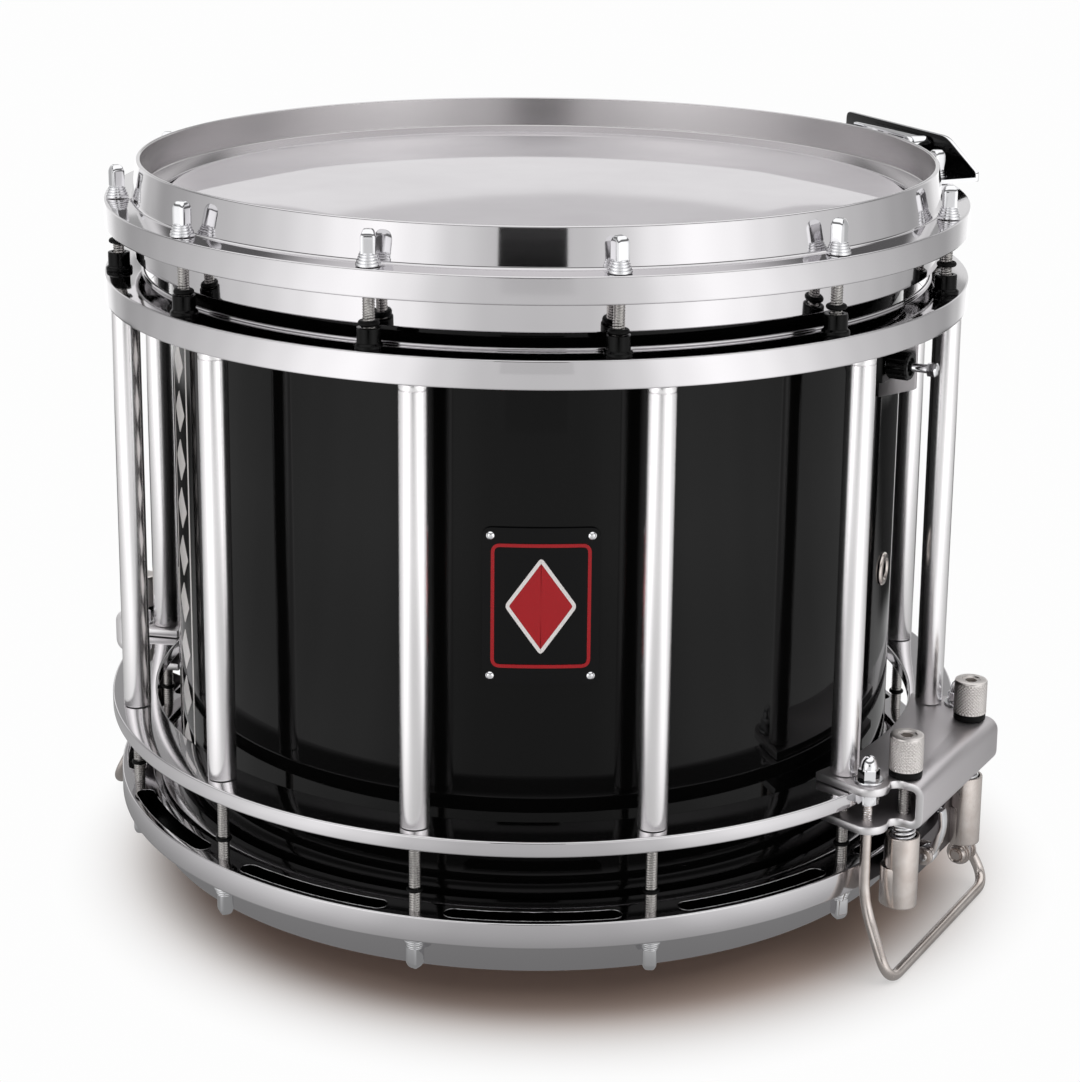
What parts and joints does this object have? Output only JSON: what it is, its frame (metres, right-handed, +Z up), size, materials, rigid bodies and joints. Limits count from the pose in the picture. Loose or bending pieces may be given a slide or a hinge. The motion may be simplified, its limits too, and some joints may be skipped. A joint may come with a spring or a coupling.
{
  "type": "marching snare drum",
  "caption": "High-tension marching snare drum: black lacquered shell in a free-floating frame of rings and tubes, with machined hoops, snare brackets, foot wires and a carrier latch",
  "frame": {"origin": "middle of the footprint, on the floor under the drum's axis", "axes": "+Z up along the drum's axis, -Y is the badge side, +X runs to the right seen from the badge side"},
  "size_m": [0.4418, 0.4152, 0.351],
  "materials": {
    "black_lacquer": "black high-gloss lacquer on a ply shell",
    "drum_head": "pale grey woven fibre head under a smooth clear face",
    "polished_aluminium": "polished, with fine turning marks",
    "satin_aluminium": "satin polished",
    "chrome": "bright chrome plate",
    "nickel_steel": "nickel-plated steel, a little warm",
    "black_metal": "black painted metal",
    "snare_wire": "drawn steel wire",
    "black_rubber": "black rubber rings",
    "red_enamel": "deep red enamel on a thin plate",
    "bare_plate": "bare brushed plate"
  },
  "bodies": {
    "drum": {"shell": "black_lacquer", "top_head": "drum_head", "bottom_head": "drum_head", "top_hoop": "polished_aluminium", "bottom_hoop": "polished_aluminium", "upper_ring": "polished_aluminium", "lower_ring": "polished_aluminium", "frame_tube_01": "satin_aluminium", "frame_tube_02": "satin_aluminium", "frame_tube_03": "satin_aluminium", "frame_tube_04": "satin_aluminium", "frame_tube_05": "satin_aluminium", "frame_tube_06": "satin_aluminium", "frame_tube_07": "satin_aluminium", "frame_tube_08": "satin_aluminium", "frame_tube_09": "satin_aluminium", "frame_tube_10": "satin_aluminium", "frame_tube_11": "satin_aluminium", "frame_tube_12": "satin_aluminium", "right_bracket": "satin_aluminium", "right_foot_wire": "nickel_steel", "left_bracket": "satin_aluminium", "left_foot_wire": "nickel_steel", "bottom_snares": "snare_wire", "top_snares": "snare_wire", "top_snare_strainer": "black_metal", "carrier_bracket": "chrome"},
    "snare_release_lever": {"snare_release_lever": "chrome"},
    "top_snare_knob": {"top_snare_knob": "black_metal"},
    "carrier_latch": {"carrier_latch": "chrome"},
    "right_snare_carriage": {"right_snare_carriage": "nickel_steel"},
    "left_snare_carriage": {"left_snare_carriage": "nickel_steel"},
    "right_front_height_knob": {"right_front_height_knob": "satin_aluminium"},
    "right_rear_height_knob": {"right_rear_height_knob": "satin_aluminium"},
    "left_front_height_knob": {"left_front_height_knob": "satin_aluminium"},
    "left_rear_height_knob": {"left_rear_height_knob": "satin_aluminium"},
    "top_tension_bolt_01": {"top_tension_bolt_01": "chrome"},
    "top_tension_bolt_02": {"top_tension_bolt_02": "chrome"},
    "top_tension_bolt_03": {"top_tension_bolt_03": "chrome"},
    "top_tension_bolt_04": {"top_tension_bolt_04": "chrome"},
    "top_tension_bolt_05": {"top_tension_bolt_05": "chrome"},
    "top_tension_bolt_06": {"top_tension_bolt_06": "chrome"},
    "top_tension_bolt_07": {"top_tension_bolt_07": "chrome"},
    "top_tension_bolt_08": {"top_tension_bolt_08": "chrome"},
    "top_tension_bolt_09": {"top_tension_bolt_09": "chrome"},
    "top_tension_bolt_10": {"top_tension_bolt_10": "chrome"},
    "top_tension_bolt_11": {"top_tension_bolt_11": "chrome"},
    "top_tension_bolt_12": {"top_tension_bolt_12": "chrome"},
    "bottom_tension_bolt_01": {"bottom_tension_bolt_01": "chrome"},
    "bottom_tension_bolt_02": {"bottom_tension_bolt_02": "chrome"},
    "bottom_tension_bolt_03": {"bottom_tension_bolt_03": "chrome"},
    "bottom_tension_bolt_04": {"bottom_tension_bolt_04": "chrome"},
    "bottom_tension_bolt_05": {"bottom_tension_bolt_05": "chrome"},
    "bottom_tension_bolt_06": {"bottom_tension_bolt_06": "chrome"},
    "bottom_tension_bolt_07": {"bottom_tension_bolt_07": "chrome"},
    "bottom_tension_bolt_08": {"bottom_tension_bolt_08": "chrome"},
    "bottom_tension_bolt_09": {"bottom_tension_bolt_09": "chrome"},
    "bottom_tension_bolt_10": {"bottom_tension_bolt_10": "chrome"},
    "bottom_tension_bolt_11": {"bottom_tension_bolt_11": "chrome"},
    "bottom_tension_bolt_12": {"bottom_tension_bolt_12": "chrome"}
  },
  "joints": [
    {"name": "snare_release", "type": "hinge", "parent": "right_snare_carriage", "child": "snare_release_lever", "pos_m": [0.18206, -0.11666, 0.044], "axis": [0.5, 0.866, 0], "range_deg": [0, 80]},
    {"name": "carrier_latch_lift", "type": "hinge", "parent": "drum", "child": "carrier_latch", "pos_m": [0.19055, 0.06706, 0.3452], "axis": [0.91, 0.4147, 0], "range_deg": [0, 110]},
    {"name": "top_snare_knob_turn", "type": "hinge", "parent": "drum", "child": "top_snare_knob", "pos_m": [0.16299, -0.0941, 0.27], "axis": [0.866, -0.5, 0], "range_deg": [-360, 360]},
    {"name": "right_carriage_height", "type": "slide", "parent": "drum", "child": "right_snare_carriage", "axis": [0, 0, 1], "range_m": [-0.002, 0.002]},
    {"name": "right_front_knob_turn", "type": "hinge", "parent": "drum", "child": "right_front_height_knob", "pos_m": [0.16622, -0.14211, 0.102], "axis": [0, 0, 1], "range_deg": [-720, 720]},
    {"name": "right_rear_knob_turn", "type": "hinge", "parent": "drum", "child": "right_rear_height_knob", "pos_m": [0.20618, -0.07289, 0.102], "axis": [0, 0, 1], "range_deg": [-720, 720]},
    {"name": "left_carriage_height", "type": "slide", "parent": "drum", "child": "left_snare_carriage", "axis": [0, 0, 1], "range_m": [-0.002, 0.002]},
    {"name": "left_front_knob_turn", "type": "hinge", "parent": "drum", "child": "left_front_height_knob", "pos_m": [-0.20618, 0.07289, 0.102], "axis": [0, 0, 1], "range_deg": [-720, 720]},
    {"name": "left_rear_knob_turn", "type": "hinge", "parent": "drum", "child": "left_rear_height_knob", "pos_m": [-0.16622, 0.14211, 0.102], "axis": [0, 0, 1], "range_deg": [-720, 720]},
    {"name": "top_bolt_01_turn", "type": "hinge", "parent": "drum", "child": "top_tension_bolt_01", "pos_m": [0.03268, -0.19528, 0.338], "axis": [0, 0, 1], "range_deg": [-180, 180]},
    {"name": "top_bolt_02_turn", "type": "hinge", "parent": "drum", "child": "top_tension_bolt_02", "pos_m": [0.12594, -0.15278, 0.338], "axis": [0, 0, 1], "range_deg": [-180, 180]},
    {"name": "top_bolt_03_turn", "type": "hinge", "parent": "drum", "child": "top_tension_bolt_03", "pos_m": [0.18546, -0.06934, 0.338], "axis": [0, 0, 1], "range_deg": [-180, 180]},
    {"name": "top_bolt_04_turn", "type": "hinge", "parent": "drum", "child": "top_tension_bolt_04", "pos_m": [0.19528, 0.03268, 0.338], "axis": [0, 0, 1], "range_deg": [-180, 180]},
    {"name": "top_bolt_05_turn", "type": "hinge", "parent": "drum", "child": "top_tension_bolt_05", "pos_m": [0.15278, 0.12594, 0.338], "axis": [0, 0, 1], "range_deg": [-180, 180]},
    {"name": "top_bolt_06_turn", "type": "hinge", "parent": "drum", "child": "top_tension_bolt_06", "pos_m": [0.06934, 0.18546, 0.338], "axis": [0, 0, 1], "range_deg": [-180, 180]},
    {"name": "top_bolt_07_turn", "type": "hinge", "parent": "drum", "child": "top_tension_bolt_07", "pos_m": [-0.03268, 0.19528, 0.338], "axis": [0, 0, 1], "range_deg": [-180, 180]},
    {"name": "top_bolt_08_turn", "type": "hinge", "parent": "drum", "child": "top_tension_bolt_08", "pos_m": [-0.12594, 0.15278, 0.338], "axis": [0, 0, 1], "range_deg": [-180, 180]},
    {"name": "top_bolt_09_turn", "type": "hinge", "parent": "drum", "child": "top_tension_bolt_09", "pos_m": [-0.18546, 0.06934, 0.338], "axis": [0, 0, 1], "range_deg": [-180, 180]},
    {"name": "top_bolt_10_turn", "type": "hinge", "parent": "drum", "child": "top_tension_bolt_10", "pos_m": [-0.19528, -0.03268, 0.338], "axis": [0, 0, 1], "range_deg": [-180, 180]},
    {"name": "top_bolt_11_turn", "type": "hinge", "parent": "drum", "child": "top_tension_bolt_11", "pos_m": [-0.15278, -0.12594, 0.338], "axis": [0, 0, 1], "range_deg": [-180, 180]},
    {"name": "top_bolt_12_turn", "type": "hinge", "parent": "drum", "child": "top_tension_bolt_12", "pos_m": [-0.06934, -0.18546, 0.338], "axis": [0, 0, 1], "range_deg": [-180, 180]},
    {"name": "bottom_bolt_01_turn", "type": "hinge", "parent": "drum", "child": "bottom_tension_bolt_01", "pos_m": [0.05096, -0.19019, 0.032], "axis": [0, 0, 1], "range_deg": [-180, 180]},
    {"name": "bottom_bolt_02_turn", "type": "hinge", "parent": "drum", "child": "bottom_tension_bolt_02", "pos_m": [0.13923, -0.13923, 0.032], "axis": [0, 0, 1], "range_deg": [-180, 180]},
    {"name": "bottom_bolt_03_turn", "type": "hinge", "parent": "drum", "child": "bottom_tension_bolt_03", "pos_m": [0.19019, -0.05096, 0.032], "axis": [0, 0, 1], "range_deg": [-180, 180]},
    {"name": "bottom_bolt_04_turn", "type": "hinge", "parent": "drum", "child": "bottom_tension_bolt_04", "pos_m": [0.19019, 0.05096, 0.032], "axis": [0, 0, 1], "range_deg": [-180, 180]},
    {"name": "bottom_bolt_05_turn", "type": "hinge", "parent": "drum", "child": "bottom_tension_bolt_05", "pos_m": [0.13923, 0.13923, 0.032], "axis": [0, 0, 1], "range_deg": [-180, 180]},
    {"name": "bottom_bolt_06_turn", "type": "hinge", "parent": "drum", "child": "bottom_tension_bolt_06", "pos_m": [0.05096, 0.19019, 0.032], "axis": [0, 0, 1], "range_deg": [-180, 180]},
    {"name": "bottom_bolt_07_turn", "type": "hinge", "parent": "drum", "child": "bottom_tension_bolt_07", "pos_m": [-0.05096, 0.19019, 0.032], "axis": [0, 0, 1], "range_deg": [-180, 180]},
    {"name": "bottom_bolt_08_turn", "type": "hinge", "parent": "drum", "child": "bottom_tension_bolt_08", "pos_m": [-0.13923, 0.13923, 0.032], "axis": [0, 0, 1], "range_deg": [-180, 180]},
    {"name": "bottom_bolt_09_turn", "type": "hinge", "parent": "drum", "child": "bottom_tension_bolt_09", "pos_m": [-0.19019, 0.05096, 0.032], "axis": [0, 0, 1], "range_deg": [-180, 180]},
    {"name": "bottom_bolt_10_turn", "type": "hinge", "parent": "drum", "child": "bottom_tension_bolt_10", "pos_m": [-0.19019, -0.05096, 0.032], "axis": [0, 0, 1], "range_deg": [-180, 180]},
    {"name": "bottom_bolt_11_turn", "type": "hinge", "parent": "drum", "child": "bottom_tension_bolt_11", "pos_m": [-0.13923, -0.13923, 0.032], "axis": [0, 0, 1], "range_deg": [-180, 180]},
    {"name": "bottom_bolt_12_turn", "type": "hinge", "parent": "drum", "child": "bottom_tension_bolt_12", "pos_m": [-0.05096, -0.19019, 0.032], "axis": [0, 0, 1], "range_deg": [-180, 180]}
  ],
  "couplings": [
    {"joint": "right_front_knob_turn", "follows": "right_carriage_height", "rad_per_m": -6283.2},
    {"joint": "right_rear_knob_turn", "follows": "right_carriage_height", "rad_per_m": -6283.2},
    {"joint": "left_front_knob_turn", "follows": "left_carriage_height", "rad_per_m": -6283.2},
    {"joint": "left_rear_knob_turn", "follows": "left_carriage_height", "rad_per_m": -6283.2}
  ]
}
